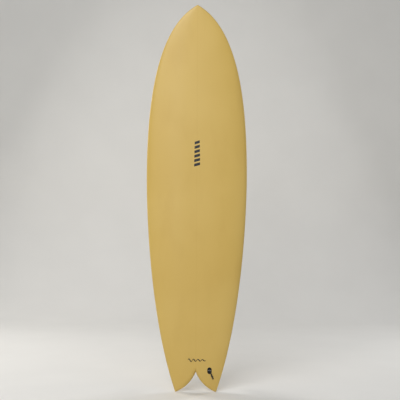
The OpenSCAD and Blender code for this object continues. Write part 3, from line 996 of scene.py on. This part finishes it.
def braid(bm, path):
    """Cord of two opposed sets of strands that pass over and under each other round a core."""
    path = even_path(path, BRAID_STEP)
    a, b = path_sides(path)
    length = np.arange(len(path)) * BRAID_STEP
    tube(bm, path, CORE_SHARE * CORD_RADIUS, 10)
    crossings = np.cos(2 * math.pi * BRAID_STRANDS * length / BRAID_LAY)
    rise = STRAND_RISE * CORD_RADIUS * crossings
    for turn in (1, -1):
        for k in range(BRAID_STRANDS):
            angle = column(2 * math.pi * (turn * length / BRAID_LAY + k / BRAID_STRANDS))
            reach = column(STRAND_REACH * CORD_RADIUS + turn * rise)
            strand = path + reach * (a * np.cos(angle) + b * np.sin(angle))
            tube(bm, strand, STRAND_SHARE * CORD_RADIUS, 5)


BAR_SINK = 8.0
WRAP = 3.75
CREST_OUT = 15.5
CREST_UP = 5.2
STOPPER_START = 13.5
STOPPER_LENGTH = 11.0
STOPPER_END_ROOM = 1.2
STOPPER_HEIGHT = 4.75
COIL_TURNS = 3.1
COIL_START = 0.5
COIL_REACH = 3.5
COIL_FLATNESS = 0.9
COIL_SLANT = 0.5
RUN_SIDE = 1.75
CORD_REACH = 36.5
CORD_HEADING = 27.0
CORD_TURN = -4.0


def heading_axes(degrees):
    """Directions along and across a heading measured from straight down, on the deck."""
    a = math.radians(degrees)
    return np.array([math.sin(a), -math.cos(a), 0]), np.array([math.cos(a), math.sin(a), 0])


def cord_mesh():
    """Doubled cord hitched round the bar, laid over the rim and ended in a wrapped stopper."""
    up = np.array([0.0, 0.0, 1.0])
    along, across = heading_axes(CORD_HEADING)
    beyond, aside = heading_axes(CORD_HEADING + CORD_TURN)
    crest = along * CREST_OUT

    def round_bar(x, degrees, reach):
        """Point round the bar, from the side that faces the tail up and over it."""
        a = math.radians(degrees)
        return np.array([x, -reach * math.cos(a), reach * math.sin(a) - BAR_SINK])

    def past(distance, side, height):
        """Point beyond the cord's crest over the rim."""
        return crest + beyond * distance + aside * side + up * height

    def run(side):
        """Points of one run of the cord, from its cut end through the stopper and over the rim."""
        return [past(CORD_REACH, 3.1 * side, 1.9), past(30.0, 2.6 * side, 2.1),
                past(24.5, 1.75 * side, 3.4), past(19.0, 1.7 * side, 4.7),
                past(13.0, 1.7 * side, 4.6), past(7.0, 1.9 * side, 3.9),
                crest + across * RUN_SIDE * side + up * (CREST_UP - 0.7),
                along * 11.0 + across * RUN_SIDE * side + up * 2.2,
                along * 6.5 + across * RUN_SIDE * side - up * 2.6]

    hitch = [round_bar(1.75, 20, WRAP + 0.1), round_bar(1.8, -50, WRAP),
             round_bar(1.9, -110, WRAP), round_bar(2.3, -170, WRAP),
             round_bar(3.2, -230, WRAP), round_bar(4.3, -285, WRAP + 0.8),
             round_bar(3.2, -312, WRAP + 3.0)]
    other_hitch = [point * [-1, 1, 1] for point in hitch]
    whole = smooth_path(run(1) + hitch + other_hitch[::-1] + run(-1)[::-1], 10)
    turns = np.linspace(0, 1, 120)
    angle = 2 * math.pi * COIL_TURNS * turns + COIL_START
    reach = COIL_REACH * np.minimum(1, 4 * np.minimum(turns + 0.12, 1.12 - turns)) ** 0.5
    middle = (STOPPER_START + STOPPER_END_ROOM
              + (STOPPER_LENGTH - 2 * STOPPER_END_ROOM) * turns + COIL_SLANT * np.cos(angle))
    coil = np.array([past(m, r * math.cos(a), STOPPER_HEIGHT + COIL_FLATNESS * r * math.sin(a))
                     for m, r, a in zip(middle, reach, angle)])
    bm = bmesh.new()
    braid(bm, whole)
    braid(bm, coil)
    bmesh.ops.scale(bm, vec=(MM, MM, MM), verts=bm.verts)
    bmesh.ops.transform(bm, matrix=plug_frame, verts=bm.verts)
    return finish_mesh(bm, "leash_loop_cord", sharp_degrees=60)


new_object("leash_loop_cord", cord_mesh(), "cord", [cord_material()], "leash_cord")

# ---------------------------------------------------------------- CAD pieces that stay
steel = steel_material()
foam = foam_material()
kept = {"foam_left": foam, "foam_right": foam, "stringer": wood_material(),
        "fin_box_left": box_plastic, "fin_box_right": box_plastic, "leash_bar": steel,
        "screw_left_front": steel, "screw_left_rear": steel,
        "screw_right_front": steel, "screw_right_rear": steel}
for node, material in kept.items():
    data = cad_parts[node].data
    data.materials.clear()
    data.materials.append(material)


# ---------------------------------------------------------------- studio
def paper_material():
    """Pale seamless paper, a little uneven."""
    red, green, blue, solid = linear(226, 224, 220)
    s = Surface("studio_paper", (red, green, blue, solid), roughness=0.9)
    darker = (0.96 * red, 0.96 * green, 0.96 * blue, solid)
    s.tint(s.between(s.noise(3.0, detail=4.0), 0.3, 0.7), darker, strength=0.5)
    s.bump(s.noise(300.0, detail=2.0), distance=0.2 * MM, strength=0.2)
    return s.done()


def clear_from_behind(material):
    """Lets a camera behind a sheet look through its back face."""
    tree = material.node_tree
    surface = tree.nodes["Material Output"].inputs["Surface"]
    paint = surface.links[0].from_socket
    geometry = tree.nodes.new("ShaderNodeNewGeometry")
    clear = tree.nodes.new("ShaderNodeBsdfTransparent")
    mix = tree.nodes.new("ShaderNodeMixShader")
    tree.links.new(geometry.outputs["Backfacing"], mix.inputs["Fac"])
    tree.links.new(paint, mix.inputs[1])
    tree.links.new(clear.outputs["BSDF"], mix.inputs[2])
    tree.links.new(mix.outputs["Shader"], surface)
    return material


SWEEP_REACH = 9.0
SWEEP_FLAT = 2.4
SWEEP_BEND = 1.2
SWEEP_TOP = 7.0


def sweep():
    """Pale floor that curves up into a backdrop, painted on the side of the board."""
    bm = bmesh.new()
    profile = [(-SWEEP_REACH, 0.0), (SWEEP_FLAT, 0.0)]
    profile += [(SWEEP_FLAT + SWEEP_BEND * math.sin(a), SWEEP_BEND * (1 - math.cos(a)))
                for a in np.radians(np.linspace(8, 90, 14))]
    profile += [(SWEEP_FLAT + SWEEP_BEND, SWEEP_TOP)]
    rows = [[(x, y, z) for x in (-SWEEP_REACH, SWEEP_REACH)] for y, z in profile]
    add_grid(bm, np.array(rows))
    mesh = finish_mesh(bm, "studio_sweep", sharp_degrees=60)
    if mesh.polygons[0].normal.z < 0:
        mesh.flip_normals()
    made = bpy.data.objects.new("studio_sweep", mesh)
    bpy.context.scene.collection.objects.link(made)
    mesh.materials.append(clear_from_behind(paper_material()))


sweep()


def area_light(name, place, target, size, power, colour):
    """Rectangular light in metres and watts, aimed at a point."""
    light = bpy.data.lights.new(name, "AREA")
    light.shape = "RECTANGLE"
    light.size, light.size_y = size
    light.energy = power
    light.color = colour
    made = bpy.data.objects.new(name, light)
    bpy.context.scene.collection.objects.link(made)
    made.location = place
    aim = Vector(target) - Vector(place)
    made.rotation_euler = aim.to_track_quat("-Z", "Y").to_euler()


area_light("key", place=(-1.8, -4.7, 3.9), target=(0, 0, 1.25), size=(4.2, 3.4), power=215,
           colour=(1.0, 0.99, 0.97))
area_light("strip", place=(-0.75, -5.2, 2.0), target=(-0.05, 0, 1.4), size=(0.35, 3.6),
           power=16, colour=(1.0, 1.0, 1.0))
area_light("fill", place=(2.8, -3.4, 1.8), target=(0, 0, 1.2), size=(2.4, 2.4), power=4,
           colour=(0.95, 0.97, 1.0))
area_light("rim_left", place=(-2.6, 1.5, 2.6), target=(0, 0, 1.2), size=(1.0, 2.4), power=60,
           colour=(1.0, 0.98, 0.95))
area_light("rim_right", place=(2.6, 1.7, 2.4), target=(0, 0, 1.2), size=(0.8, 2.2), power=35,
           colour=(0.97, 0.98, 1.0))
world = bpy.data.worlds.new("studio_world")
bpy.context.scene.world = world
world.use_nodes = True
soft_light = world.node_tree.nodes["Background"]
soft_light.inputs["Color"].default_value = (0.9, 0.95, 1.0, 1)
soft_light.inputs["Strength"].default_value = 0.25
bpy.context.scene.view_settings.view_transform = "Standard"

# ---------------------------------------------------------------- camera
CAMERA_DISTANCE = 4.6
CAMERA_ROLL = -0.33
FRAME_SIDE = 0.0186
FRAME_HEIGHT = 1.065
SENSOR = 36.0
LENS = 74.655
camera_data = bpy.data.cameras.new("camera")
camera_data.sensor_width = SENSOR
camera_data.lens = LENS
camera = bpy.data.objects.new("camera", camera_data)
bpy.context.scene.collection.objects.link(camera)
camera.location = (FRAME_SIDE, -CAMERA_DISTANCE, FRAME_HEIGHT)
camera.rotation_euler = (math.pi / 2, math.radians(CAMERA_ROLL), 0)
bpy.context.scene.camera = camera
